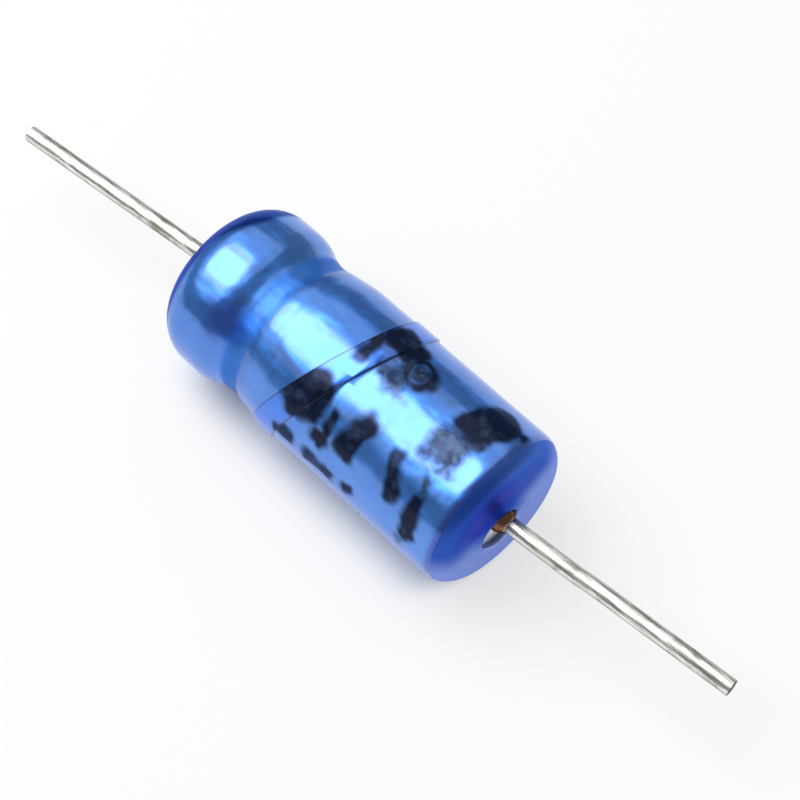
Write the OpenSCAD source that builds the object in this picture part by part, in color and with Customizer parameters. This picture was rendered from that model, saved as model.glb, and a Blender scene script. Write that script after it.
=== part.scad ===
// Axial aluminium electrolytic capacitor, lying on its side, millimetres.
// X runs along the leads from the positive (grooved) end to the negative (closed) end,
// Z is up, and the origin is on the surface under the middle of the can.

/* [Can] */
// Outside diameter of the can's straight wall
can_d = 8; // [7.2:0.1:10]
// Length of the can over its two ends
can_len = 18.5; // [17:0.5:26]
// Thickness of the drawn wall
can_wall = 0.3; // [0.2:0.05:0.4]
// Thickness of the closed bottom
can_bottom_t = 0.5; // [0.3:0.1:0.9]
// Outer rounding round the closed bottom
can_corner_r = 1; // [0.6:0.1:1.4]

/* [Rolled end] */
// How far the swelled seat of the seal stands out from the straight wall
bead_swell = 0.2; // [0.1:0.05:0.4]
// Length of the swelled seat, from the end to its shoulder
bead_len = 3.2; // [3:0.1:3.6]
// Rounding from the seat over to the curled lip
bead_end_r = 1.75; // [1.4:0.05:2]
// Blend from the seat down into the groove
shoulder_r = 2; // [1:0.5:2.5]
// Distance of the rolled groove from the end
groove_pos = 4.6; // [4.5:0.1:5.2]
// Depth of the groove below the straight wall, at its sharp root
groove_depth = 0.44; // [0.2:0.02:0.5]
// Radius of the groove roller
groove_r = 2.4; // [1.6:0.1:3]
// Run from the groove back up to the straight wall
groove_run = 2.1; // [1.8:0.1:2.6]
// Blend where the run meets the straight wall
run_blend_r = 5; // [3:0.5:6]
// Width of the curled lip, measured in from the seat
lip_w = 1.9; // [1.7:0.1:2.2]

/* [Seal] */
// Thickness of the rubber bung behind the lip
seal_t = 3; // [2.6:0.1:3.2]
// How far the bung's boss stays below the lip's face
boss_drop = 0.05; // [0.05:0.01:0.2]
// Gap round the boss inside the mouth
boss_gap = 0.05; // [0.03:0.01:0.1]
// Diameter of the aluminium stud through the bung
stud_d = 1.5; // [1.2:0.1:2]
// How far the stud stands out of the lip's face
stud_out = 0.35; // [0.2:0.05:0.6]
// Width of the stud's flattened inner end
paddle_w = 2.4; // [2.1:0.1:3]
// Thickness of the flattened inner end
paddle_t = 0.5; // [0.4:0.05:0.8]
// Length of the flattened inner end
paddle_len = 1.2; // [1:0.1:1.3]

/* [Winding] */
// Gap between the taped winding and the can's wall
winding_gap = 0.2; // [0.15:0.05:0.4]
// Gap between the winding and the can's bottom
winding_bottom_gap = 0.35; // [0.3:0.05:0.6]
// Distance of the winding's other face from the groove's root
winding_setback = 1.25; // [1.1:0.05:1.6]
// Bore left by the winding spindle
spindle_d = 0.8; // [0.6:0.1:1.2]
// Thickness of the closing tape
tape_t = 0.05; // [0.03:0.01:0.1]
// Width of the closing tape
tape_w = 8; // [5:0.5:9]
// Width of the two contact tabs
tab_w = 2; // [1.5:0.1:2]
// Thickness of the two contact tabs
tab_t = 0.15; // [0.1:0.01:0.2]
// Length of the tab's end that lies on the stud
tab_land = 1; // [0.6:0.1:1]
// Distance of the tabs from the axis where they leave the winding
tab_offset = 1.5; // [1.3:0.1:2]

/* [Leads] */
// Diameter of both tinned wires
lead_d = 0.8; // [0.5:0.05:0.9]
// Reach of the positive lead beyond the lip, along X
pos_reach = 12.4; // [8:0.1:30]
// Sideways tilt of the positive lead
pos_tilt = 6.4; // [4:0.2:12]
// Reach of the negative lead beyond the bottom, along X
neg_reach = 12.4; // [8:0.1:30]
// Sideways tilt of the negative lead before its kink
neg_tilt = 4.9; // [3:0.1:6]
// Distance of the kink from the can's bottom, along X
kink_pos = 4.2; // [3:0.1:5]
// Length of the kinked stretch, along X
kink_len = 0.7; // [0.6:0.1:1.2]
// Sideways tilt of the kinked stretch
kink_tilt = 9.2; // [8:0.1:12]
// Sideways tilt beyond the kink
end_tilt = 5.5; // [3:0.1:6.5]
// Diameter of the weld bead between stud and lead
weld_d = 1.2; // [1.1:0.05:1.4]
// Diameter of the negative lead's flattened foot
foot_d = 1.3; // [1.2:0.1:1.7]
// Height of the weld cone over the foot
foot_h = 0.42; // [0.3:0.02:0.6]
// Step left where the weld meets the wire
weld_step = 0.06; // [0.04:0.01:0.1]

/* [Sleeves] */
// Thickness of the shrunk film
film_t = 0.1; // [0.08:0.01:0.12]
// Place of the printed sleeve's slanted edge, from the can's middle
cut_pos = -1.4; // [-1.8:0.1:0]
// Tilt of both slanted film edges
cut_tilt = 24.5; // [0:0.5:28]
// Turn of that tilt round the axis
cut_turn = 57; // [0:1:360]
// Overlap of the printed sleeve over the plain one
overlap = 1.31; // [0.8:0.01:2]
// Width of the printed film's drape over the edge beneath it
drape = 0.1; // [0.05:0.01:0.2]
// Diameter of the hole that the film leaves on each end
hole_d = 2.2; // [2.1:0.1:2.8]
// Gap between the lead's foot and the near side of the off-centre hole round it
hole_gap = 0.05; // [0.05:0.01:0.25]
// Direction in which that hole is off centre, round the axis
hole_turn = 205; // [0:5:360]
// Height of the thickened film round each hole
collar_h = 0.16; // [0.14:0.02:0.3]
// Width of the thickened film round each hole
collar_w = 0.85; // [0.5:0.05:0.9]
// Rounding of the thickened edge
collar_r = 0.12; // [0.08:0.01:0.13]

/* [Print] */
// Thickness of the printed ink
ink_t = 0.04; // [0.03:0.005:0.06]
// Width of the pen strokes
stroke_w = 0.62; // [0.4:0.02:0.8]
// Height of the printed signs, measured round the sleeve
sign_h = 2.1; // [1.5:0.1:2.3]
// Gap from the printed sleeve's edge to the middle of the first sign
print_gap = 1.4; // [1.2:0.1:1.8]
// Middle of the lower printed row, in degrees round the axis
row_low = 139; // [130:1:145]
// Middle of the upper printed row, in degrees round the axis
row_high = 71; // [64:1:78]
// Middle of the small row under the lower one
row_small = 171; // [168:1:176]

/* [Hidden] */
$fn = 72;

can_r = can_d / 2;
end_x = can_len / 2;                  // face of the closed bottom; the lip's is at -end_x
bead_r = can_r + bead_swell;
mouth_r = bead_r - lip_w;
seat_x = -end_x + bead_len;
groove_x = -end_x + groove_pos;
run_x = groove_x + groove_run;
bore_x = end_x - can_bottom_t;        // inner face of the bottom
lip_x = -end_x + can_wall;            // inner face of the lip
axis_z = bead_r + film_t;             // the sleeved bead touches the surface
lead_r = lead_d / 2;
hole_r = hole_d / 2;
foot_r = foot_d / 2;
hole_shift = hole_r - foot_r - hole_gap;
film_r = can_r + film_t;
winding_r = can_r - can_wall - winding_gap - tape_t;
wind_x0 = groove_x + winding_setback;
wind_x1 = bore_x - winding_bottom_gap;
seal_x = lip_x + seal_t;              // inner face of the bung
paddle_x = seal_x + paddle_len;
sleeve_cut = cut_pos + overlap;       // edge of the plain sleeve, under the printed one
print_x = cut_pos + print_gap;        // middle of the first printed sign
reach = 2 * end_x + 10;               // larger than the body, for cutting blocks

// ---------- helpers: a turned profile given as corners and roundings ----------

function unit(v) = v / norm(v);
// Line through a and b moved to its left by d, as a point and a direction
function left_of(a, b, d) = let (u = unit(b - a)) [a + d * [-u[1], u[0]], u];
function crossing(l, m) =
    let (det = l[1][0] * m[1][1] - l[1][1] * m[1][0], w = m[0] - l[0])
    l[0] + l[1] * ((w[0] * m[1][1] - w[1] * m[1][0]) / det);
// Open path moved to its left by d, with its two ends kept on the axis or on its caps
function parallel(p, d) = let (n = len(p) - 1) [
    for (i = [0 : n])
        i == 0 ? left_of(p[0], p[1], d)[0]
        : i == n ? left_of(p[n], 2 * p[n] - p[n - 1], d)[0]
        : crossing(left_of(p[i - 1], p[i], d), left_of(p[i], p[i + 1], d))
];
// Which way the path turns at corner i: 1 left, -1 right
function turn_at(p, i) = let (a = p[i] - p[i - 1], b = p[i + 1] - p[i])
    sign(a[0] * b[1] - a[1] * b[0]);
function corner_angle(p, i) = let (a = unit(p[i] - p[i - 1]), b = unit(p[i + 1] - p[i]))
    acos(min(1, max(-1, a * b)));
function tangent_len(p, r, i) = r[i] * tan(corner_angle(p, i) / 2);
function tangent_in(p, r, i) = p[i] + unit(p[i - 1] - p[i]) * tangent_len(p, r, i);
function tangent_out(p, r, i) = p[i] + unit(p[i + 1] - p[i]) * tangent_len(p, r, i);
function arc_centre(p, r, i) = let (u = unit(p[i] - p[i - 1]))
    tangent_in(p, r, i) + turn_at(p, i) * r[i] * [-u[1], u[0]];

// Closed section: the path's corners rounded by true arcs, ends joined straight
module rounded(p, r) {
    n = len(p) - 1;
    difference() {
        union() {
            polygon([for (i = [0 : n]) each (r[i] > 0
                ? [tangent_in(p, r, i), tangent_out(p, r, i)] : [p[i]])]);
            for (i = [1 : n - 1])
                if (r[i] > 0 && turn_at(p, i) > 0) corner_cap(p, r, i);
        }
        for (i = [1 : n - 1])
            if (r[i] > 0 && turn_at(p, i) < 0) corner_cap(p, r, i);
    }
}
module corner_cap(p, r, i) {
    intersection() {
        translate(arc_centre(p, r, i)) circle(r = r[i]);
        polygon([tangent_in(p, r, i), p[i], tangent_out(p, r, i)]);
    }
}
// Turn a section drawn as (x, radius) about the X axis
module turned() {
    rotate([0, 90, 0]) rotate_extrude() mirror([1, -1]) children();
}

// ---------- the can's outline, from the closed end to the lip ----------

can_path = [
    [end_x, 0], [end_x, can_r], [run_x, can_r], [groove_x, can_r - groove_depth],
    [seat_x, bead_r], [-end_x, bead_r], [-end_x, 0]
];
// Positive for a corner that bulges out, negative for the groove
can_round = [0, can_corner_r, run_blend_r, -groove_r, shoulder_r, bead_end_r, 0];
// The outline moved outward by d
function path_at(d) = parallel(can_path, -d);
function round_at(d) = [for (v = can_round) v == 0 ? 0 : v > 0 ? v + d : -v - d];

module body_section(d) { rounded(path_at(d), round_at(d)); }
module body_solid(d) { turned() body_section(d); }
// The can's inside, with its own bottom thickness
module cavity_section() {
    p = path_at(-can_wall);
    rounded(
        [for (i = [0 : len(p) - 1]) i < 2 ? [bore_x, p[i][1]] : p[i]],
        round_at(-can_wall));
}

module at_axis() { translate([0, 0, axis_z]) children(); }

// ---------- pieces ----------

// Drawn cup: closed bottom, rolled groove, swelled seat and curled lip
module can() {
    color("silver") at_axis() turned() difference() {
        body_section(0);
        cavity_section();
        translate([-end_x - 1, 0]) square([1 + 2 * can_wall, mouth_r]);
    }
}

// Rubber bung, gripped between the groove's shoulder and the lip
module end_seal() {
    color([0.12, 0.12, 0.13]) at_axis() turned() difference() {
        union() {
            intersection() {
                cavity_section();
                translate([lip_x, 0]) square([seal_t, can_d]);
            }
            translate([-end_x + boss_drop, 0])
                square([can_wall - boss_drop + seal_t / 2, mouth_r - boss_gap]);
        }
        translate([-end_x - 1, 0]) square([seal_t + 3, stud_d / 2]);
    }
}

// Aluminium stud through the bung, its inner end rolled flat
module anode_stud() {
    color("gainsboro") at_axis() union() {
        translate([-end_x - stud_out, 0, 0]) rotate([0, 90, 0])
            cylinder(d = stud_d, h = stud_out + end_x + seal_x);
        translate([seal_x, -paddle_w / 2, -paddle_t / 2]) cube([paddle_len, paddle_w, paddle_t]);
    }
}

// Wire along a level path of stretches, each a run along X at its own tilt, mitred together
function run_end(p, run, tilt) = p + [run, run * tan(tilt)];
function mitre(tilts, i) =
    i == 0 ? tilts[0] : i == len(tilts) ? tilts[i - 1] : (tilts[i - 1] + tilts[i]) / 2;
module wire(p, runs, tilts, i = 0) {
    if (i < len(runs)) {
        q = run_end(p, runs[i], tilts[i]);
        side = 4 * lead_r;
        m0 = side * [-sin(mitre(tilts, i)), cos(mitre(tilts, i))];
        m1 = side * [-sin(mitre(tilts, i + 1)), cos(mitre(tilts, i + 1))];
        intersection() {
            translate([p[0], p[1], 0]) rotate([0, 0, tilts[i]]) rotate([0, 90, 0])
                translate([0, 0, -side]) cylinder(r = lead_r, h = norm(q - p) + 2 * side);
            translate([0, 0, -side]) linear_extrude(2 * side) polygon([p - m0, q - m1, q + m1, p + m0]);
        }
        wire(q, runs, tilts, i + 1);
    }
}

// Positive wire, butt-welded to the stud
module positive_lead() {
    root = end_x + stud_out;
    color([0.86, 0.86, 0.83]) at_axis() rotate([0, 0, 180]) union() {
        intersection() {
            translate([root, 0, 0]) sphere(d = weld_d);
            translate([root, -weld_d, -weld_d]) cube(2 * weld_d);
        }
        wire([root, 0], [weld_d / 2, pos_reach - stud_out - weld_d / 2], [0, pos_tilt]);
    }
}

// Negative wire with its flattened, welded foot and a small kink
module negative_lead() {
    heel = foot_h / 2;                    // the wire starts inside the weld cone
    color([0.86, 0.86, 0.83]) at_axis() union() {
        translate([end_x, 0, 0]) rotate([0, 90, 0])
            cylinder(r1 = foot_r, r2 = lead_r + weld_step, h = foot_h);
        wire([end_x + heel, 0],
            [kink_pos - heel, kink_len, neg_reach - kink_pos - kink_len],
            [neg_tilt, kink_tilt, end_tilt]);
    }
}

// Foil and paper wound as one roll, open at the spindle's bore
module winding() {
    color([0.82, 0.76, 0.62]) at_axis() translate([wind_x0, 0, 0]) rotate([0, 90, 0]) difference() {
        cylinder(r = winding_r, h = wind_x1 - wind_x0);
        translate([0, 0, -1]) cylinder(d = spindle_d, h = wind_x1 - wind_x0 + 2);
    }
}

// Tape that holds the last turn down
module closing_tape() {
    mid = (wind_x0 + wind_x1) / 2;
    color([0.90, 0.80, 0.45]) at_axis() translate([mid - tape_w / 2, 0, 0]) rotate([0, 90, 0])
        difference() {
            cylinder(r = winding_r + tape_t, h = tape_w);
            translate([0, 0, -1]) cylinder(r = winding_r, h = tape_w + 2);
        }
}

// A folded strip: path in (x, z), tab_w wide
module strip(path) {
    translate([0, tab_w / 2, 0]) rotate([90, 0, 0]) linear_extrude(tab_w)
        polygon(concat(parallel(path, tab_t / 2),
            [for (i = [len(path) - 1 : -1 : 0]) parallel(path, -tab_t / 2)[i]]));
}

// Strip from the winding's face down onto the stud's flat end
module anode_tab() {
    top = paddle_t / 2 + tab_t / 2;
    color("silver") at_axis() strip([
        [paddle_x - tab_land, top], [paddle_x, top],
        [(paddle_x + wind_x0) / 2, tab_offset], [wind_x0, tab_offset]
    ]);
}

// Strip from the winding's other face, folded flat on the can's bottom
module cathode_tab() {
    flat = bore_x - tab_t / 2;
    color("silver") at_axis()
        strip([[wind_x1, -tab_offset], [flat, -tab_offset], [flat, tab_offset / 2]]);
}

// Everything on the far side of a slanted film edge placed at x
module beyond(x) {
    translate([x, 0, 0]) rotate([cut_turn, 0, 0]) rotate([0, 0, -cut_tilt])
        translate([0, -reach, -reach]) cube(2 * reach);
}
module before(x) {
    translate([x, 0, 0]) rotate([cut_turn, 0, 0]) rotate([0, 0, -cut_tilt])
        translate([-2 * reach, -reach, -reach]) cube(2 * reach);
}
// Thickened ring of film round a hole, standing on the face at x = film_t
module collar() {
    peak = hole_r + collar_r + collar_w / 4;
    turned() rounded(
        [[0, hole_r], [film_t + collar_h, hole_r], [film_t + collar_h, peak],
            [film_t, hole_r + collar_w], [0, hole_r + collar_w]],
        [0, collar_r, collar_r * 1.2, 0, 0]);
}
// Room in the film's face for that ring
module end_hole() { translate([-1, 0, 0]) rotate([0, 90, 0]) cylinder(r = hole_r + collar_w / 2, h = 2); }

module on_lip() { translate([-end_x, 0, 0]) rotate([0, 0, 180]) children(); }
module on_closed_end() {
    translate([end_x, hole_shift * cos(hole_turn), hole_shift * sin(hole_turn)]) children();
}

// Blue film over the grooved end, cut on a slant
module plain_sleeve() {
    color([0.16, 0.42, 0.85]) at_axis() union() {
        difference() {
            intersection() {
                body_solid(film_t);
                before(sleeve_cut);
            }
            body_solid(0);
            on_lip() end_hole();
        }
        on_lip() collar();
    }
}

// The printed sleeve's outside, grown by d: thin on the can, raised over the plain sleeve
module printed_outside(d) {
    intersection() {
        body_solid(film_t + d);
        beyond(cut_pos);
    }
    intersection() {
        body_solid(2 * film_t + d);
        beyond(cut_pos);
        before(sleeve_cut + drape);
    }
}
// Blue film over the closed end, its slanted edge lying over the plain sleeve
module printed_sleeve() {
    color([0.20, 0.50, 0.92]) at_axis() union() {
        difference() {
            printed_outside(0);
            body_solid(0);
            intersection() {
                body_solid(film_t);
                before(sleeve_cut);
            }
            on_closed_end() end_hole();
        }
        on_closed_end() collar();
    }
}

// Place a flat mark at x and at an angle round the axis; local X along the part, Y round it
module stamp(x, angle) {
    translate([x, 0, 0]) rotate([angle - 90, 0, 0]) linear_extrude(can_d) children();
}
module bar(w, h, r) {
    rounded(
        [[-w / 2, -h / 6], [-w / 2, -h / 2], [w / 2, -h / 2],
            [w / 2, h / 2], [-w / 2, h / 2], [-w / 2, h / 6]],
        [0, r, r, r, r, 0]);
}
// Worn ink on the printed film: blocks, strokes, a ring and a dot
module print_marks() {
    r = stroke_w * 0.3;
    sign_deg = sign_h / film_r * 180 / PI;
    color([0.05, 0.06, 0.10]) at_axis() intersection() {
        difference() {
            printed_outside(ink_t);
            printed_outside(0);
        }
        union() {
            // lower row: a block and four strokes, one of them broad
            stamp(print_x, row_low - 6) bar(sign_h * 1.1, sign_h * 1.2, r);
            stamp(print_x + 0.73 * sign_h, row_low + 5) bar(stroke_w * 0.8, sign_h * 1.1, r);
            stamp(print_x + 1.35 * sign_h, row_low) rotate(-14) bar(stroke_w * 1.7, sign_h * 1.1, r);
            stamp(print_x + 2.47 * sign_h, row_low) rotate(17) bar(stroke_w, sign_h * 1.15, r);
            stamp(print_x + 3.35 * sign_h, row_low + sign_deg * 0.5) rotate(-4)
                bar(stroke_w * 1.2, sign_h * 1.4, r);
            // small row
            for (i = [-0.33, 0.64, 1.62])
                stamp(print_x + i * sign_h, row_small) bar(stroke_w * 1.5, stroke_w * 0.8, r);
            // upper row: a block with a short stroke, a ring beside it, a larger block and a dot
            stamp(print_x + 0.76 * sign_h, row_high - 5) bar(sign_h, sign_h * 0.8, r);
            stamp(print_x + 0.35 * sign_h, row_high + sign_deg * 0.45) rotate(-12)
                bar(stroke_w * 0.9, sign_h * 0.8, r);
            stamp(print_x + 1.49 * sign_h, row_high + 4) difference() {
                circle(r = sign_h * 0.4);
                circle(r = sign_h * 0.16);
            }
            stamp(print_x + 3.24 * sign_h, row_high - 4)
                bar(sign_h * 1.2, sign_h * 1.4, stroke_w * 0.5);
            stamp(end_x - can_corner_r, row_high - 11) circle(d = stroke_w * 0.8);
        }
    }
}

can();
end_seal();
anode_stud();
positive_lead();
negative_lead();
winding();
closing_tape();
anode_tab();
cathode_tab();
plain_sleeve();
printed_sleeve();
print_marks();
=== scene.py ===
# %% [markdown]
# # An axial electrolytic capacitor in blue shrink film
# The real thing is a drawn aluminium can with a tinned wire on each end. Two sleeves of clear
# blue film are shrunk over it: a plain one over the grooved end, and a printed one over the
# closed end, which laps over the first along a slanted edge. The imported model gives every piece
# its place, so each cell below starts from a node of that model and either keeps its shape or
# lays a smoother one over the same sizes.

import math

import bmesh
import bpy
from mathutils import Matrix, Vector, noise


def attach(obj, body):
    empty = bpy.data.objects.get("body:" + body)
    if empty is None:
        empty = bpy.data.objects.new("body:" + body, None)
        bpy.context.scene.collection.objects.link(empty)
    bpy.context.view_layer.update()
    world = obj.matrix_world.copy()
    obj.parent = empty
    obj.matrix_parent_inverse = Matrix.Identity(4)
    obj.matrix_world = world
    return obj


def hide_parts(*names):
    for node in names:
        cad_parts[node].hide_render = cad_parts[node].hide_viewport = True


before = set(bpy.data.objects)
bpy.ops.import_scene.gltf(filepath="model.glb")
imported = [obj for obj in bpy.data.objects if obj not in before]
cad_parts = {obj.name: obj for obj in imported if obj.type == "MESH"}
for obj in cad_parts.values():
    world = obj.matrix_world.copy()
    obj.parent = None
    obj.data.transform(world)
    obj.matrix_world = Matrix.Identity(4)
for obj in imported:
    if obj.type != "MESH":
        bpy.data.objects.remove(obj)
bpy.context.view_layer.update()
MM = 0.001
print("nodes:", sorted(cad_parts))

# %% [markdown]
# ## Sizes that the cells share
# The same values as in the part's source, in millimetres. The can's axis lies along X, with the
# closed end at +X, and it is AXIS_Z above the surface. A turned piece is therefore made round the
# X axis first and lifted by AXIS_Z at the end.

# %% Sizes
END_X = 9.25          # half the can's length
CAN_R = 4.0           # the can's straight wall
BEAD_R = 4.2          # the swelled seat between the groove and the lip
FILM = 0.1            # thickness of one film
AXIS_Z = 4.3          # height of the axis
HOLE_R = 1.1          # the hole that each film leaves in its end
FOOT_R = 0.65         # foot of the weld on the closed end
LEAD_R = 0.4          # the wires
CUT_X = -1.4          # slanted edge of the printed film, on the axis
OVERLAP = 1.31        # how far it laps over the plain film, along the axis
LAP_END = CUT_X + OVERLAP     # slanted edge of the plain film
DRAPE = 0.1           # length over which the printed film comes down from that edge
STEPS = 192           # facets round a turned piece

# The slanted edges face along X, tilted, and then turned round the axis
CUT_TILT, CUT_TURN = math.radians(24.5), math.radians(57)
TILTED = Matrix.Rotation(CUT_TURN, 3, "X") @ Matrix.Rotation(-CUT_TILT, 3, "Z")
CUT_NORMAL = TILTED @ Vector((1, 0, 0))
print("slanted edges face", [round(c, 4) for c in CUT_NORMAL])

# %% [markdown]
# ## The camera
# A small part looks right from close by through a long lens, from 60 degrees above the surface.
# A camera could be aimed by hand or by a constraint. Here it stands at a distance along one
# direction and is moved sideways until the middle of the can falls on a chosen pixel, so the view
# is exact and no lens shift is needed.

# %% Camera
TURN, ELEVATION = math.radians(45.475), math.radians(60)
FOCAL_PX, HALF_PX = 2200.0, 400.0     # focal length and half the picture, in its pixels
AIM_PX = (356.87, 390.16)             # the pixel where the middle of the can falls
DISTANCE = 100.46                     # from the eye to the middle of the can, in mm
SENSOR = 36                           # mm
CLIP_M = (0.005, 20)                  # nearest and farthest that it sees, in metres

right = Vector((math.cos(TURN), math.sin(TURN), 0))
level_ahead = Vector((-math.sin(TURN), math.cos(TURN), 0))
forward = level_ahead * math.cos(ELEVATION) - Vector((0, 0, math.sin(ELEVATION)))
up = right.cross(forward)
aim = Vector((AIM_PX[0] - HALF_PX, HALF_PX - AIM_PX[1])) / FOCAL_PX * DISTANCE
eye = Vector((0, 0, AXIS_Z)) - right * aim.x - up * aim.y - forward * DISTANCE

camera_data = bpy.data.cameras.new("camera")
camera_data.sensor_width = SENSOR
camera_data.lens = SENSOR * FOCAL_PX / (2 * HALF_PX)
camera_data.clip_start, camera_data.clip_end = CLIP_M
camera = bpy.data.objects.new("camera", camera_data)
turned = Matrix((right, up, -forward)).transposed().to_4x4()
camera.matrix_world = Matrix.Translation(eye * MM) @ turned
bpy.context.collection.objects.link(camera)
bpy.context.scene.camera = camera
bpy.context.scene.view_settings.view_transform = "Standard"
print("camera at", [round(c, 2) for c in eye], "mm, lens", camera_data.lens)

# %% [markdown]
# ## Helpers for materials
# Colours are written as the hex values that a picture shows, and one function turns them into
# the linear values that the renderer works in. One more function adds a node, sets its sockets
# and links it, so a material reads as a list of what it is made of. Most finishes here are layers
# of colour that come in smoothly with some measure, so a third function lays such layers.


# %% Colour and node helpers
SMOOTH = {"interpolation_type": "SMOOTHSTEP"}


def linear(hex_colour):
    """'#4A90F0' as linear red, green, blue and an alpha of 1."""
    values = [int(hex_colour[i : i + 2], 16) / 255 for i in (1, 3, 5)]
    return (*(v / 12.92 if v <= 0.04045 else ((v + 0.055) / 1.055) ** 2.4 for v in values), 1)


def node(tree, kind, sockets=(), out=0, **settings):
    """Adds a shader node and returns its output named or numbered by out, or all for None.

    sockets is a list for its first inputs, or a dictionary by name or number. The output of
    another node is linked, a hex colour is made linear, and any other value is set as it is.
    """
    made = tree.nodes.new("ShaderNode" + kind)
    for name, value in settings.items():
        setattr(made, name, value)
    for key, value in sockets.items() if isinstance(sockets, dict) else enumerate(sockets):
        if isinstance(value, bpy.types.NodeSocket):
            tree.links.new(value, made.inputs[key])
        else:
            made.inputs[key].default_value = linear(value) if isinstance(value, str) else value
    return made.outputs if out is None else made.outputs[out]


def layered(tree, colour, layers):
    """Lays colours over a first one, and returns the result.

    Each layer is (measure, start, full, strength, colour over it): it comes in smoothly from
    where the measure is at its start to where it is at its full value.
    """
    for measure, start, full, strength, over in layers:
        mask = node(tree, "MapRange", [measure, start, full, 0.0, strength], **SMOOTH)
        colour = node(tree, "Mix", {0: mask, 6: colour, 7: over}, out=2, data_type="RGBA")
    return colour


def empty_tree(owner):
    """The node tree of a material or of the world, with nothing in it."""
    owner.use_nodes = True
    owner.node_tree.nodes.clear()
    return owner.node_tree


def place(tree, centre=(0, 0, AXIS_Z)):
    """Object coordinates in millimetres, measured from a point on the part's axis."""
    raw = node(tree, "TexCoord", out="Object")
    in_mm = node(tree, "VectorMath", {0: raw, "Scale": 1 / MM}, operation="SCALE")
    return node(tree, "VectorMath", [in_mm, centre], operation="SUBTRACT")


def surface(tree, height, strength, depth_mm, sockets):
    """Ends a finish: bumps from a height, the shader with its sockets, and the output."""
    bump = node(tree, "Bump", {"Height": height, "Strength": strength, "Distance": depth_mm * MM})
    shader = node(tree, "BsdfPrincipled", {**sockets, "Normal": bump})
    node(tree, "OutputMaterial", [shader], out=None)


# %% [markdown]
# ## Floor and room
# The part lies on a plain sheet of white paper. Matt paper alone would come out pale grey between
# the shadow and the rim of the picture. So camera, glossy and transmission rays see a plain white
# mixed into it, most of it a few millimetres away from the can and beyond the near end, and none
# of it under the can, where the shadow stays as the lamps make it. Beyond the near end this white
# is painted light that lifts part of the can's shadow. The metal mirrors the same white. The room
# round it is a middling grey: it is what the dark bands on the body mirror.

# %% Floor and world
SHEET = 1.5                       # half the side of the sheet, in metres
SHADE_MIDDLE, SHADE_HALF = -1, 7.5     # the stretch of X, in mm, that the can shades
GLOW_START, GLOW_FULL = 3.0, 5.5  # distance from that stretch over which the white comes in
GLOW_SHARE = 0.7
ENDWISE = 2                       # it comes in faster along X, so the painted white lifts the shadow beyond the near end
ROOM_LEVEL = 0.26

floor_mesh = bpy.data.meshes.new("floor")
bm = bmesh.new()
bmesh.ops.create_grid(bm, x_segments=1, y_segments=1, size=SHEET)
bm.to_mesh(floor_mesh)
bm.free()
floor = bpy.data.objects.new("floor", floor_mesh)
bpy.context.collection.objects.link(floor)

paper = bpy.data.materials.new("white_paper")
tree = empty_tree(paper)
matt = node(tree, "BsdfDiffuse", {"Color": "#F8F8F9"})
white = node(tree, "Emission", {"Color": "#FCFCFC"})
rays = node(tree, "LightPath", out=None)
seen = node(tree, "Math", [rays["Is Camera Ray"], rays["Is Glossy Ray"]], operation="ADD")
seen = node(tree, "Math", [seen, rays["Is Transmission Ray"]], operation="ADD", use_clamp=True)
away = node(tree, "VectorMath", [place(tree, (SHADE_MIDDLE, 0, 0))], operation="ABSOLUTE")
away = node(tree, "VectorMath", [away, (SHADE_HALF, 0, 0)], operation="SUBTRACT")
away = node(tree, "VectorMath", [away], operation="MAXIMUM")
away = node(tree, "VectorMath", [away, (ENDWISE, 1, 1)], operation="MULTIPLY")
away = node(tree, "VectorMath", [away], operation="LENGTH", out=1)
share = node(tree, "MapRange", [away, GLOW_START, GLOW_FULL, 0.0, GLOW_SHARE], **SMOOTH)
share = node(tree, "Math", [seen, share], operation="MULTIPLY")
node(tree, "OutputMaterial", [node(tree, "MixShader", [share, matt, white])], out=None)
floor_mesh.materials.append(paper)

world = bpy.data.worlds.new("room")
bpy.context.scene.world = world
tree = empty_tree(world)
room = node(tree, "Background", {"Color": "#FAFDFF", "Strength": ROOM_LEVEL})
node(tree, "OutputWorld", [room], out=None)
print("floor", SHEET * 2, "m across, room at a level of", ROOM_LEVEL)

# %% [markdown]
# ## Lamps
# The bright band along the body is the mirror image of one soft box overhead. A fainter and much
# larger one behind it widens the band and lights the shadow. Sun or point lamps would leave hard
# dots on the metal. Area lamps leave a patch of their own shape, and these are oval, so that the
# patch on the swelled seat has round corners. Each is also turned a little about its own beam,
# which makes the band lean along the body.


# %% Lamps
LAMP_TILT = math.radians(26)      # leant from straight over the can towards the grooved end
LAMP_SPIN = math.radians(-12)     # turned about its own beam
# name, distance, size across and along in mm, level of its face, degrees round the axis
LAMPS = [
    ("overhead_soft_box", 300, 260, 282, 3.4, 102),
    ("wide_soft_box", 320, 470, 850, 0.75, 90),
]

for name, distance, wide, long, level, degrees in LAMPS:
    round_axis = math.radians(degrees)     # from +Y towards +Z
    toward = Vector((
        -math.sin(LAMP_TILT),
        math.cos(LAMP_TILT) * math.cos(round_axis),
        math.cos(LAMP_TILT) * math.sin(round_axis),
    ))
    across = Vector((0, 1, 0)).cross(toward).normalized()
    facing = Matrix((across, toward.cross(across), toward)).transposed().to_4x4()
    data = bpy.data.lights.new(name, "AREA")
    data.shape = "ELLIPSE"
    data.size, data.size_y = wide * MM, long * MM
    face = math.pi / 4 * data.size * data.size_y
    data.energy = level * math.pi * face     # a face of a level of 1 looks white
    lamp = bpy.data.objects.new(name, data)
    stand = Matrix.Translation((toward * distance + Vector((0, 0, AXIS_Z))) * MM)
    lamp.matrix_world = stand @ facing @ Matrix.Rotation(LAMP_SPIN, 4, "Z")
    bpy.context.collection.objects.link(lamp)
    print(name, "toward", [round(c, 3) for c in toward])

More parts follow.
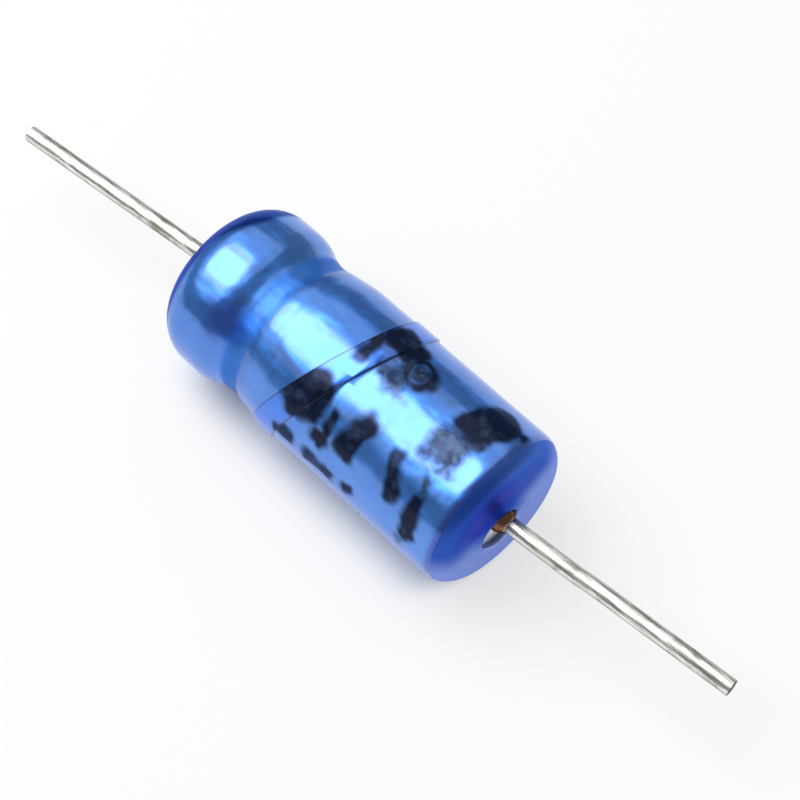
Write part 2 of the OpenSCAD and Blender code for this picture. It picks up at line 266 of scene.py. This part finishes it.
# %% [markdown]
# ## Turned shapes
# The can is spun over a roller, so everything on it is a turned shape: one outline in X and
# radius, carried round the axis. A cylinder with loop cuts would come close, but its corners
# would need a bevel each and the groove would be guessed. Here the outline starts as a few corner
# points, a vertex bevel rounds each corner, and a full spin with its doubles merged makes the
# surface.


# %% Turning helpers
def turn_outline(bm, corners, segments=12, closed=False):
    """Spins an outline of (x, radius, rounding) corners in mm round the X axis, into bm."""
    verts = [bm.verts.new((x, 0, r)) for x, r, _ in corners]
    pairs = list(zip(verts, verts[1:])) + ([(verts[-1], verts[0])] if closed else [])
    for pair in pairs:
        bm.edges.new(pair)
    points = [Vector((x, r)) for x, r, _ in corners]
    for i, (_, _, rounding) in enumerate(corners):
        if rounding:
            before = points[i - 1] - points[i]
            after = points[(i + 1) % len(points)] - points[i]
            half_turn = (math.pi - before.angle(after)) / 2
            bmesh.ops.bevel(
                bm, geom=[verts[i]], offset=rounding * math.tan(half_turn), offset_type="OFFSET",
                segments=segments, profile=0.5, affect="VERTICES", material=-1,
            )
    bmesh.ops.spin(
        bm, geom=list(bm.verts) + list(bm.edges), cent=(0, 0, 0), axis=(1, 0, 0),
        angle=2 * math.pi, steps=STEPS, use_merge=True, use_duplicate=False,
    )
    bmesh.ops.recalc_face_normals(bm, faces=list(bm.faces))


def piece_from(bm, name, finish, replaces, sharp=40):
    """Turns a bmesh in mm round the X axis into a piece in metres that rides on the body."""
    bmesh.ops.translate(bm, verts=list(bm.verts), vec=(0, 0, AXIS_Z))
    bmesh.ops.scale(bm, verts=list(bm.verts), vec=(MM, MM, MM))
    mesh = bpy.data.meshes.new(name)
    bm.to_mesh(mesh)
    bm.free()
    for polygon in mesh.polygons:
        polygon.use_smooth = True
    mesh.set_sharp_from_angle(angle=math.radians(sharp))
    mesh.materials.append(finish)
    made = bpy.data.objects.new(name, mesh)
    bpy.context.collection.objects.link(made)
    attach(made, "root")
    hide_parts(*replaces)
    print(name, len(mesh.polygons), "faces")
    return made


# %% The can's outline
UNDER_RING = HOLE_R + 0.42        # both films begin under the ring round their hole
CAN_OUTLINE = [
    *((END_X, r, 0) for r in (UNDER_RING, 1.95, 2.25, 2.6)),
    (END_X, CAN_R, 1.0),          # edge of the closed end
    (-2.55, CAN_R, 5.0),          # the wall begins to dip
    (-4.65, 3.56, 2.4),           # root of the groove
    (-6.05, BEAD_R, 2.0),         # swelled seat
    (-END_X, BEAD_R, 1.75),       # curled lip
    *((-END_X, r, 0) for r in (2.2, 1.95, UNDER_RING)),
]
print("outline of", len(CAN_OUTLINE), "corners")

# %% [markdown]
# ## The two blue films
# Each sleeve is the can's outline moved outward by the film's thickness and given that thickness
# inward, which is what shrinking does to the real one. A slanted plane cuts the tube. Where the
# printed sleeve lies over the plain one it is lifted by one more thickness, and a short drape
# brings it down again. Each film ends in a thickened ring round the wire, where the heat gathers
# it, with small folds round the hole. Cloth simulation could draw the film tight, but on a
# round metal can it would end where these few moves start.


# %% Film helpers
RING_RISE, RING_SPREAD = 0.16, 1.3     # how high the ring stands, and how far it spreads
SUNK = 0.02                            # how far it reaches into what it stands on
FOLD_DEPTH = 0.035
FOLDS, FINE_FOLDS = 2.2, 5.5           # how often the folds come round the hole
FOLDS_OUT, FOLDS_GROW = 3.4, 1.6       # how far from the axis they begin, and grow inwards
FACE_OUT, FACE_GROW = 2.7, 1.1         # the same for the end face, where it follows the ring


def cut(bm, x, normal=(1, 0, 0), keep=None):
    """Cuts bm through (x, 0, 0). Both sides stay, or only the one "beyond" or "before" it."""
    bmesh.ops.bisect_plane(
        bm, geom=list(bm.verts) + list(bm.edges) + list(bm.faces), dist=1e-5,
        plane_co=(x, 0, 0), plane_no=normal,
        clear_inner=keep == "beyond", clear_outer=keep == "before",
    )


def ease(t):
    """A smooth step from 0 to 1."""
    t = max(0.0, min(1.0, t))
    return t * t * (3 - 2 * t)


def outward(point):
    """The direction from the axis to a point."""
    return Vector((0, point.y, point.z)).normalized()


def pucker(bm):
    """Small radial folds in the film's end, deepest beside the hole."""
    for vert in bm.verts:
        reach = math.hypot(vert.co.y, vert.co.z)
        angle = math.atan2(vert.co.z, vert.co.y)
        near = ease((FOLDS_OUT - reach) / FOLDS_GROW)
        near *= ease((abs(vert.co.x) - END_X - FILM / 2) / FILM)
        if near > 0:
            y, z = math.cos(angle), math.sin(angle)
            fold = noise.noise(Vector((y * FOLDS, z * FOLDS, vert.co.x * 0.2)))
            fine = noise.noise(Vector((y * FINE_FOLDS, z * FINE_FOLDS, 3.0)))
            vert.co.x += math.copysign(FOLD_DEPTH * near * (fold + 0.5 * fine), vert.co.x)


def add_ring(bm, side, shift):
    """The thickened film round a hole, as a closed ring that stands on the end face."""
    low, face, top = END_X + SUNK, END_X + FILM, END_X + FILM + RING_RISE
    part = bmesh.new()
    corners = [
        (low, HOLE_R, 0), (top, HOLE_R, 0.12), (top, HOLE_R + 0.33, 0.14),
        (face, HOLE_R + 0.85, 0.5), (face - SUNK, HOLE_R + RING_SPREAD, 0),
        (low, HOLE_R + RING_SPREAD, 0),
    ]
    turn_outline(part, corners, segments=8, closed=True)
    if side < 0:
        bmesh.ops.scale(part, verts=list(part.verts), vec=(-1, 1, 1))
        bmesh.ops.reverse_faces(part, faces=list(part.faces))
    bmesh.ops.translate(part, verts=list(part.verts), vec=shift)
    pucker(part)
    holder = bpy.data.meshes.new("ring")
    part.to_mesh(holder)
    part.free()
    bm.from_mesh(holder)
    bpy.data.meshes.remove(holder)


# %% Build a film
# Rings of edges for the lap and, closer together, for the groove's ridge
STATIONS = [-1.9 + 0.5 * step for step in range(21)] + [-5.5 + 0.1 * step for step in range(28)]
RIDGE_X, RIDGE_RISE, RIDGE_WIDTH = -3.75, 0.06, 0.5


def film_sleeve(beyond, edge_x, ring_side, ring_shift=Vector((0, 0, 0))):
    """One sleeve: the part of the tube beyond or before a slanted edge, with its ring."""
    bm = bmesh.new()
    turn_outline(bm, CAN_OUTLINE)
    bm.normal_update()
    for vert in bm.verts:
        vert.co += vert.normal * FILM
        if abs(vert.co.x) > END_X:
            reach = math.hypot(vert.co.y, vert.co.z)
            vert.co += ring_shift * ease((FACE_OUT - reach) / FACE_GROW)
    for x in STATIONS:
        cut(bm, x)
    for vert in bm.verts:
        # The roller leaves a faint ridge on the body's side of its groove
        raised = RIDGE_RISE * math.exp(-(((vert.co.x - RIDGE_X) / RIDGE_WIDTH) ** 2))
        vert.co += outward(vert.co) * raised
    cut(bm, edge_x, CUT_NORMAL, keep="beyond" if beyond else "before")
    if beyond:
        for share in (0, 0.25, 0.5, 0.75, 1.0):
            cut(bm, LAP_END + share * DRAPE, CUT_NORMAL)
        for vert in bm.verts:
            past = CUT_NORMAL.dot(vert.co - Vector((LAP_END, 0, 0))) / CUT_NORMAL.x
            vert.co += outward(vert.co) * FILM * (1 - ease(past / DRAPE))
    # A little less than the film's thickness, so that its inside stays clear of the can
    bmesh.ops.solidify(bm, geom=list(bm.faces), thickness=FILM * 0.98)
    pucker(bm)
    add_ring(bm, ring_side, ring_shift)
    return bm


# The hole of the printed film isn't centred: its rim nearly touches the weld on one side
HOLE_SHIFT, HOLE_TURN = HOLE_R - FOOT_R - 0.05, math.radians(205)
RING_SHIFT = Vector((0, HOLE_SHIFT * math.cos(HOLE_TURN), HOLE_SHIFT * math.sin(HOLE_TURN)))
print("the printed film's hole is", round(HOLE_SHIFT, 2), "mm off the axis")

# %% [markdown]
# ## Film gathered over an end
# On the end faces the film is drawn together: thick, wrinkled and matt. It could be blue glass
# over metal, but a shell this thin renders slowly and with much noise. One metallic shader in the
# dye's colour shows the same thing: light that went through the dye, off the metal and back. The
# colour is deepest in a cloudy patch above the hole, partly where the folds lie over each other
# and partly as painted shade. Below the hole and out to the +Y side it is pale: a painted
# reflection of the white floor. The outer rim takes a lighter colour on the +Y side, also a
# painted reflection.


# %% Finish of the gathered film
END_START, LIP_START = 8.72, -8.6     # where it begins, along X
FOLDS_AND_SHADE_AT = (0, -1.2, 2.3)             # middle of the folds and of the painted shade, above the hole


def gathered_film(name, deepest, outer, rim, pale):
    """Cloudy and half matt, deep at the folds (partly painted shade), with painted reflections at
    the rim and below.
    """
    made = bpy.data.materials.new(name)
    tree = empty_tree(made)
    at = place(tree)
    _, y, z = node(tree, "SeparateXYZ", [at], out=None)
    across = node(tree, "VectorMath", [at, (0, 1, 1)], operation="MULTIPLY")
    from_axis = node(tree, "VectorMath", [across], operation="LENGTH", out=1)
    reach = node(tree, "VectorMath", [across, FOLDS_AND_SHADE_AT], operation="DISTANCE", out=1)
    cloud = node(tree, "TexNoise", {"Vector": at, "Scale": 0.6})     # clouds of about 1.7 mm
    cloudy_reach = node(tree, "Math", [cloud, 1.6, reach], operation="MULTIPLY_ADD")
    to_side = node(tree, "Math", [y, 0.0], operation="MAXIMUM")
    height = node(tree, "Math", [to_side, -0.5, z], operation="MULTIPLY_ADD")
    # Painted reflections: a lighter rim on +Y, and a pale face low down and on +Y; the deepest
    # colour is partly painted shade
    rim_with_painted_reflection = layered(tree, rim, [(y, 1.0, -1.5, 1.0, outer)])
    colour = layered(tree, deepest, [
        (cloudy_reach, 1.7, 3.1, 1.0, outer),
        (from_axis, 3.0, 4.0, 1.0, rim_with_painted_reflection),
        (height, 1.2, -1.0, 1.0, pale),
    ])
    surface(tree, cloud, 0.3, 0.1, {
        "Base Color": colour, "Metallic": 0.85, "Roughness": 0.4, "Specular Tint": "#90A8F0",
        "Coat Weight": 0.15, "Coat Roughness": 0.3,
    })
    return made


# %% [markdown]
# ## The worn print
# The print is a row of dark signs that handling has rubbed until none can be read. An image
# could hold them, but it would blur up close and needs a UV map. Each sign is a rounded bar
# instead, placed by its distance along the can and its angle round it, and drawn as the distance
# to that bar: ink where the distance is below zero. A little noise bends the edges, and more of
# it eats the rubbed signs, which are a grey haze with dark swirls of ink left in it.


# %% The signs
# x, angle round the axis in degrees, width along X, height round the can, turn in degrees
SIGNS = [
    (-0.2, 133, 2.4, 2.6, 14), (1.55, 144, 0.64, 2.3, 0), (2.95, 134, 1.2, 2.6, -14),
    (5.4, 137, 0.8, 2.5, 20), (7.05, 151, 0.86, 2.6, 5), (-0.5, 172, 1.3, 0.85, 0),
    (1.7, 173.5, 1.9, 0.8, 0), (3.46, 173, 0.75, 0.7, 0), (1.35, 152.5, 1.2, 0.9, 0),
    (0.6, 84, 0.7, 1.9, 0), (1.6, 66, 2.1, 1.7, -8), (6.95, 70, 2.1, 3.2, -18),
    (8.25, 60, 0.7, 0.45, 0),
]
RUBBED = [
    (2.3, 90, 2.0, 1.5, 0), (3.4, 98, 1.0, 0.4, -10), (6.5, 99, 2.1, 2.5, -8),
    (7.2, 113, 0.8, 0.4, -20), (6.95, 130, 0.5, 1.0, 0), (6.85, 175, 0.6, 0.9, 0),
    (3.12, 77, 1.3, 1.3, 0),
]
RING = (3.12, 76, 0.72, 0.25)     # x, angle, radius and half the width of its line
CORNERS = 0.35                    # rounding of a bar's corners, as a share of its shorter side
FAR = 1.0                         # a distance at which there is no ink
print(len(SIGNS), "signs, a ring and", len(RUBBED), "rubbed places")


# %% Print helpers
def round_place(angle):
    """Distance round the film from the top, in mm, for an angle in degrees from +Y to +Z."""
    return math.radians(90 - angle) * (CAN_R + FILM)


def nearest_bar(tree, flat, bars):
    """Distance in mm to the nearest of some bars, below zero inside one."""
    nearest = FAR
    for x, angle, width, height, turn in bars:
        centre = (x, round_place(angle), 0)
        rounding = min(width, height) * CORNERS
        straight = (width / 2 - rounding, height / 2 - rounding, 0)
        sockets = {"Vector": flat, "Center": centre, "Angle": -math.radians(turn)}
        away = node(tree, "VectorRotate", sockets, rotation_type="Z_AXIS")
        away = node(tree, "VectorMath", [away, centre], operation="SUBTRACT")
        away = node(tree, "VectorMath", [away], operation="ABSOLUTE")
        away = node(tree, "VectorMath", [away, straight], operation="SUBTRACT")
        away = node(tree, "VectorMath", [away], operation="MAXIMUM")
        away = node(tree, "VectorMath", [away], operation="LENGTH", out=1)
        away = node(tree, "Math", [away, rounding], operation="SUBTRACT")
        nearest = node(tree, "Math", [away, nearest], operation="MINIMUM")
    return nearest


def ink_masks(tree, at, x, y, z):
    """How much ink there is, and how rubbed it is, at each point of the film."""
    # The film unrolled: x along the can, and the distance round it from the top
    turned_by = node(tree, "Math", [y, z], operation="ARCTAN2")
    around = node(tree, "Math", [turned_by, CAN_R + FILM], operation="MULTIPLY")
    flat = node(tree, "CombineXYZ", [x, around])
    wobble = node(tree, "TexNoise", {"Vector": at, "Scale": 1.0, "Detail": 1}, out=1)
    wobble = node(tree, "VectorMath", [wobble, (0.5, 0.5, 0.5)], operation="SUBTRACT")
    wobble = node(tree, "VectorMath", [wobble, (0.75, 0.75, 0)], operation="MULTIPLY")
    flat = node(tree, "VectorMath", [flat, wobble], operation="ADD")

    ring_x, angle, radius, half_width = RING
    centre = (ring_x, round_place(angle), 0)
    ring = node(tree, "VectorMath", [flat, centre], operation="DISTANCE", out=1)
    ring = node(tree, "Math", [ring, radius], operation="SUBTRACT")
    ring = node(tree, "Math", [ring], operation="ABSOLUTE")
    ring = node(tree, "Math", [ring, half_width], operation="SUBTRACT")
    nearest = node(tree, "Math", [ring, nearest_bar(tree, flat, SIGNS)], operation="MINIMUM")
    solid = node(tree, "MapRange", [nearest, 0.26, -0.2], **SMOOTH)

    # Swirls about 1 mm across eat into the haze, and ones of 0.7 mm keep dark ink in it
    uneven, left = (
        node(tree, "TexNoise", {"Vector": at, "Scale": scale, "Distortion": 0.8})
        for scale in (1.0, 1.5)
    )
    uneven = node(tree, "Math", [0.5, uneven], operation="SUBTRACT")
    ragged = [uneven, 1.4, nearest_bar(tree, flat, RUBBED)]
    ragged = node(tree, "Math", ragged, operation="MULTIPLY_ADD")
    haze = node(tree, "MapRange", [ragged, 0.3, -0.5, 0.0, 0.95], **SMOOTH)
    ink = node(tree, "Math", [solid, haze], operation="MAXIMUM")
    left = node(tree, "MapRange", [left, 0.38, 0.6], **SMOOTH)
    not_solid = node(tree, "Math", [1.0, solid], operation="SUBTRACT")
    worn = node(tree, "Math", [not_solid, left], operation="MULTIPLY")
    return ink, worn


# %% [markdown]
# ## Blue shrink film over bright metal
# PVC film, clear but dyed blue, drawn tight over polished aluminium. Light goes through the dye,
# off the metal and back through the dye, so the body looks like coloured metal under varnish: a
# metallic base in the dye's colour for the soft blue sheen, and a clear coat for the whitish
# gloss. Where two films lie over each other the dye is deeper. Towards the ends it is deeper too,
# partly where the film gathers and partly as painted shade, most on the near end's -Y side and on
# the lip's +Y side. Painted shade also darkens the root of the groove, its shoulder and a patch
# low on the seat. The surface is smooth but not flat: slow waves from the shrinking bend the
# reflections a little.


# %% Finish of the films
ROOT_X, SHOULDER_X = -4.45, -3.78     # root of the groove, and its shoulder on the body's side
SEAT_SHADE_AT = (-5.5, -2.75, 2.85)       # middle of a patch of painted shade low on the seat
CUT_LINE, STEP_LINE = 0.07, 0.06      # half the width of the dark lines at the cut and the step
LINE_CORE = 0.3                       # share of such a line that is at its darkest
GLOSSY, DULL = 0.34, 0.5              # roughness of clean film, and of dirt and ink
VARNISH, THIN_VARNISH = 1.0, 0.2      # clear coat on clean film, and where it is dull


def film_over_metal(name, printed=False):
    """Blue coloured metal under varnish, with the ink on it if it is printed."""
    made = bpy.data.materials.new(name)
    tree = empty_tree(made)
    at = place(tree)
    x, y, z = node(tree, "SeparateXYZ", [at], out=None)
    slant = node(tree, "VectorMath", [at, tuple(CUT_NORMAL)], operation="DOT_PRODUCT", out=1)
    slant = node(tree, "Math", [slant, CUT_NORMAL.x], operation="DIVIDE")
    from_root, from_shoulder, from_cut, from_step = (
        node(tree, "Math", [node(tree, "Math", pair, operation="SUBTRACT")], operation="ABSOLUTE")
        for pair in ([x, ROOT_X], [x, SHOULDER_X], [slant, CUT_X], [slant, LAP_END + DRAPE / 2])
    )
    from_seat_shade = node(tree, "VectorMath", [at, SEAT_SHADE_AT], operation="DISTANCE", out=1)
    # On the lip the deep blue reaches further on the +Y side, as painted shade
    shade_reach = node(tree, "MapRange", [y, -1.0, 2.0, 0.0, 0.9], **SMOOTH)
    x_less_shade_reach = node(tree, "Math", [x, shade_reach], operation="SUBTRACT")
    lip = (x_less_shade_reach, LIP_START + 0.35, LIP_START - 0.1)

    # Clouds in the dye, nearly 3 mm across
    cloud = node(tree, "TexNoise", {"Vector": at, "Scale": 0.35, "Detail": 3})
    # The near end's blue is deeper where the film gathers, and deeper still on the -Y side as
    # painted shade
    near_end = layered(tree, "#4070CC", [(y, 1.0, -1.5, 1.0, "#2450B8")])
    colour = layered(tree, "#347EDE", [
        (cloud, 0.3, 0.7, 1.0, "#448CE8"),
        (x, END_START - 0.45, END_START - 0.1, 1.0, near_end),
        (*lip, 1.0, "#163C9C"),
        # At the root of the groove the colour is darkened, a painted shade that dims the lamp's
        # patch there, and the film is rougher
        (from_root, 0.5, 0.1, 0.7, "#3E78C8"),
        # Painted shade along the shoulder of the groove
        (from_shoulder, 0.55, 0.0, 0.55, "#2C62B4"),
        (from_seat_shade, 1.8, 0.3, 0.7, "#0448C8"),
    ])
    # The cut edge of the upper film gets a thin dark line
    cut_line = (from_cut, CUT_LINE, CUT_LINE * LINE_CORE, 0.85, "#0A2C74")
    dull = node(tree, "MapRange", [from_root, 0.8, 0.3], **SMOOTH)
    if not printed:
        colour = layered(tree, colour, [cut_line])
    else:
        # Two films lie over each other as far as the step, which holds a line of shade
        colour = layered(tree, colour, [
            (slant, LAP_END + 0.06, LAP_END - 0.02, 1.0, "#2C7CF0"),
            cut_line,
            (from_step, STEP_LINE, STEP_LINE * LINE_CORE, 0.85, "#0A2C74"),
        ])
        # Blue-black ink, mottled where it is thin, and grey where it is rubbed
        ink, worn = ink_masks(tree, at, x, y, z)
        mottle = node(tree, "TexNoise", {"Vector": at, "Scale": 1.3, "Detail": 3})
        ink_colour = layered(tree, "#101D3C", [(mottle, 0.5, 0.72, 0.75, "#3A4A6E")])
        mix = {"data_type": "RGBA", "out": 2}
        ink_colour = node(tree, "Mix", {0: worn, 6: ink_colour, 7: "#3E526C"}, **mix)
        colour = node(tree, "Mix", {0: ink, 6: colour, 7: ink_colour}, **mix)
        dull = node(tree, "Math", [dull, ink], operation="MAXIMUM")

    bare = node(tree, "Math", [node(tree, "MapRange", lip, **SMOOTH), dull], operation="MAXIMUM")
    # Waves of about 1.7 mm, twice as long along the can, and finer creases that run round it
    waves = node(tree, "VectorMath", [at, (0.5, 1, 1)], operation="MULTIPLY")
    waves = node(tree, "TexNoise", {"Vector": waves, "Scale": 0.6})
    creases = node(tree, "VectorMath", [at, (1.4, 0.6, 0.6)], operation="MULTIPLY")
    creases = node(tree, "TexNoise", {"Vector": creases, "Scale": 1.0, "Detail": 1})
    height = node(tree, "Math", [creases, 0.3, waves], operation="MULTIPLY_ADD")
    surface(tree, height, 0.8, 0.25, {
        "Base Color": colour, "Metallic": 1.0, "Specular Tint": "#A8C4F4",
        "Roughness": node(tree, "MapRange", [dull, 0.0, 1.0, GLOSSY, DULL]),
        "Coat Weight": node(tree, "MapRange", [bare, 0.0, 1.0, VARNISH, THIN_VARNISH], **SMOOTH),
        "Coat Roughness": 0.15, "Coat IOR": 1.7,
    })
    return made


# %% Place the films
def finish_where(made, finish, test):
    """Gives a second finish to the faces whose middle, in mm, passes a test."""
    made.data.materials.append(finish)
    second = len(made.data.materials) - 1
    for polygon in made.data.polygons:
        if test(polygon.center / MM):
            polygon.material_index = second


film_plain = piece_from(
    film_sleeve(False, LAP_END, -1), "film_over_grooved_end",
    film_over_metal("blue_shrink_film_on_aluminium"), ["plain_sleeve"],
)
film_printed = piece_from(
    film_sleeve(True, CUT_X, 1, RING_SHIFT), "film_over_closed_end",
    film_over_metal("printed_blue_shrink_film_on_aluminium", printed=True),
    ["printed_sleeve", "print_marks"],
)
gathered = gathered_film("gathered_blue_shrink_film", "#1036B0", "#2C58BE", "#4874D0", "#9CB0EC")
gathered_deeper = gathered_film(
    "gathered_blue_shrink_film_on_the_lip", "#102C94", "#2450B4", "#2450B4", "#3460C4"
)
finish_where(film_plain, gathered_deeper, lambda at: at.x < LIP_START)
finish_where(film_printed, gathered, lambda at: at.x > END_START)

# %% [markdown]
# ## Tinned wires
# Each lead is copper-clad steel wire, stiff, so the bends in it are sharp and the rest is
# straight. A bevelled curve would give the tube at once, but its end could not be pinched. Here a
# ring of edges is extruded from station to station along the path, which leaves the ring of the
# cut end at hand. The weld at its root is a turned shape of its own, closed through the wire.


# %% Wire helpers
SIDES = 32                        # facets round a wire
BEND = 0.25                       # length of a bend on each side of its corner
PINCH = (0.7, 0.86, 1)            # what the shears leave of the cut end


def extrude_ring(bm, edges):
    """Extrudes a ring of edges where it is, and returns the new vertices and edges."""
    made = bmesh.ops.extrude_edge_only(bm, edges=edges)["geom"]
    verts = [g for g in made if isinstance(g, bmesh.types.BMVert)]
    found = [g for g in made if isinstance(g, bmesh.types.BMEdge)]
    return verts, [edge for edge in found if all(v in verts for v in edge.verts)]


def wire_tube(bm, stations):
    """Extrudes a ring along stations of (x, y) in mm; the last station is the cut end."""
    points = [Vector((x, y, 0)) for x, y in stations]
    frames = []
    for i, point in enumerate(points):
        along = (points[min(i + 1, len(points) - 1)] - points[max(i - 1, 0)]).normalized()
        turn = Vector((0, 0, 1)).rotation_difference(along).to_matrix().to_4x4()
        frames.append(Matrix.Translation(point) @ turn)
    ring = bmesh.ops.create_circle(
        bm, cap_ends=True, segments=SIDES, radius=LEAD_R, matrix=frames[0]
    )["verts"]
    edges = list({e for v in ring for e in v.link_edges})
    for before, after in zip(frames, frames[1:]):
        ring, edges = extrude_ring(bm, edges)
        bmesh.ops.transform(bm, verts=ring, matrix=after @ before.inverted())
    ring, edges = extrude_ring(bm, edges)
    bmesh.ops.scale(bm, verts=ring, vec=PINCH, space=frames[-1].inverted())
    bmesh.ops.edgeloop_fill(bm, edges=edges)
    bmesh.ops.recalc_face_normals(bm, faces=list(bm.faces))


def along_path(corners):
    """Stations along a path of corners: each corner replaced by three points of a small bend."""
    made = [Vector(corners[0])]
    for i in range(1, len(corners) - 1):
        here = Vector(corners[i])
        back = (Vector(corners[i - 1]) - here).normalized() * BEND
        on = (Vector(corners[i + 1]) - here).normalized() * BEND
        made += [here + back, here + (back + on) * 0.25, here + on]
    return [tuple(p) for p in made + [Vector(corners[-1])]]


# %% [markdown]
# ## Bright tin
# Tin is a soft white metal, plated on the wire. Drawing and handling leave fine streaks along it,
# a sixth of a millimetre wide and 2 mm long, and duller, greyer patches of about a millimetre. The
# weld's heat leaves a brown tint at its root. The eye sees bright lines that break up along the
# wire. The dark edge tint stands for the dark room that a real wire mirrors at its sides.


# %% Finish of the wires
def bright_tin(name, burnt_to=None):
    """Streaked bright tin, brown as far as burnt_to, in mm along X, where it was welded."""
    made = bpy.data.materials.new(name)
    tree = empty_tree(made)
    at = place(tree)
    x, _, _ = node(tree, "SeparateXYZ", [at], out=None)
    streaks = node(tree, "VectorMath", [at, (0.5, 6, 6)], operation="MULTIPLY")
    streaks = node(tree, "TexNoise", {"Vector": streaks, "Scale": 1.0, "Detail": 3})
    patches = node(tree, "TexNoise", {"Vector": at, "Scale": 0.9, "Detail": 3})
    colour = layered(tree, "#D8D7CE", [
        (streaks, 0.35, 0.65, 1.0, "#FBFBF6"),
        (patches, 0.5, 0.7, 0.7, "#8F8A7C"),
    ])
    if burnt_to:
        along = node(tree, "Math", [x], operation="ABSOLUTE")
        colour = layered(tree, colour, [(along, burnt_to, burnt_to - 0.35, 1.0, "#84604C")])
    surface(tree, streaks, 0.6, 0.06, {
        "Base Color": colour, "Metallic": 1.0, "Specular Tint": "#54544E",
        "Roughness": node(tree, "MapRange", [patches, 0.45, 0.75, 0.2, 0.38], **SMOOTH),
    })
    return made


# %% Place the wires
INSIDE, FLUSH = 0.1, LEAD_R - 0.02     # radii at which a weld's outline lies inside the wire
# name, node, finish, corners of (x, y) along the wire, the weld's outline as corners of
# (x, radius, rounding), steps in a rounding, and how uneven the weld is
LEADS = [
    (
        "wire_negative", "negative_lead", bright_tin("tinned_wire_with_weld_tint", burnt_to=9.95),
        [(9.4, 0.012), (13.45, 0.342), (14.15, 0.4554), (21.65, 1.1776)],
        [
            (END_X, INSIDE, 0), (END_X, FOOT_R, 0), (END_X + 0.08, FOOT_R, 0.06),
            (END_X + 0.42, LEAD_R + 0.06, 0.1), (END_X + 0.5, FLUSH, 0), (END_X + 0.5, INSIDE, 0),
        ],
        5, 0.12,
    ),
    (
        "wire_positive", "positive_lead", bright_tin("tinned_wire"),
        [(-9.7, 0), (-10.2, 0), (-21.65, -1.2843)],
        [
            (-9.6, INSIDE, 0), (-9.6, 0.6, 0), (-9.85, 0.6, 0.2), (-10.15, LEAD_R, 0.2),
            (-10.3, FLUSH, 0), (-10.3, INSIDE, 0),
        ],
        6, 0.0,
    ),
]

for name, stands_for, finish, path, weld, segments, uneven in LEADS:
    bm = bmesh.new()
    turn_outline(bm, weld, segments=segments, closed=True)
    for vert in bm.verts:
        # Lumps of a little over half a millimetre
        swell = noise.noise(Vector((vert.co.x * 2, vert.co.y * 1.5, vert.co.z * 1.5)))
        vert.co.yz *= 1 + uneven * swell
    wire_tube(bm, along_path(path))
    piece_from(bm, name, finish, [stands_for], sharp=50)

# %% [markdown]
# ## What shows through the holes, and what lies inside
# The other nodes keep their shapes and get finishes only. The can's bare end and the weld's foot
# show through the hole in the printed film, and everything else is hidden until the can is
# opened. One recipe does for all of them: a grain between two near colours, which also bumps the
# surface a hundredth of a millimetre, with the roughness of the real stuff.


# %% Finishes of the other nodes
GRAIN_DEPTH = 0.01
# nodes, two colours, grains to the millimetre, roughness, metallic, stretch of the grain
FINISHES = {
    # Pressed and drawn: soft grey sheen, with faint lines along the can
    "drawn_aluminium": (["can"], "#C9CCCE", "#DFE1E2", 2.0, 0.32, 1.0, (1, 4, 4)),
    # Moulded and matt: it swallows light
    "black_butyl_rubber": (["end_seal"], "#17171A", "#222226", 5.0, 0.75, 0.0, (1, 1, 1)),
    # Turned and bright, a little smoother than the can
    "aluminium_stud": (["anode_stud"], "#C4C7CA", "#D8DADC", 3.0, 0.3, 1.0, (1, 1, 1)),
    # Paper edges wet with electrolyte: straw-coloured, with lines across the roll's length
    "foil_and_soaked_paper": (["winding"], "#B89F72", "#D9C79B", 3.0, 0.7, 0.0, (0.3, 3, 3)),
    # Smooth plastic with amber glue behind it
    "amber_tape": (["closing_tape"], "#C9A54A", "#DDBB62", 1.5, 0.35, 0.0, (1, 1, 1)),
    # Etched to give it more area, so a dull silver
    "etched_foil": (["anode_tab", "cathode_tab"], "#BEC0C2", "#D2D4D5", 6.0, 0.5, 1.0, (1, 1, 1)),
}

for name, (nodes, first, second, scale, roughness, metallic, stretch) in FINISHES.items():
    finish = bpy.data.materials.new(name)
    tree = empty_tree(finish)
    at = node(tree, "VectorMath", [place(tree), stretch], operation="MULTIPLY")
    grain = {"Vector": at, "Scale": scale, "Detail": 4, "Roughness": 0.6}
    grain = node(tree, "TexNoise", grain)
    colour = layered(tree, first, [(grain, 0.3, 0.7, 1.0, second)])
    shader = {"Base Color": colour, "Metallic": metallic, "Roughness": roughness}
    surface(tree, grain, 0.5, GRAIN_DEPTH, shader)
    for stays in nodes:
        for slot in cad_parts[stays].material_slots:
            slot.material = finish
        print(stays, "is", finish.name)
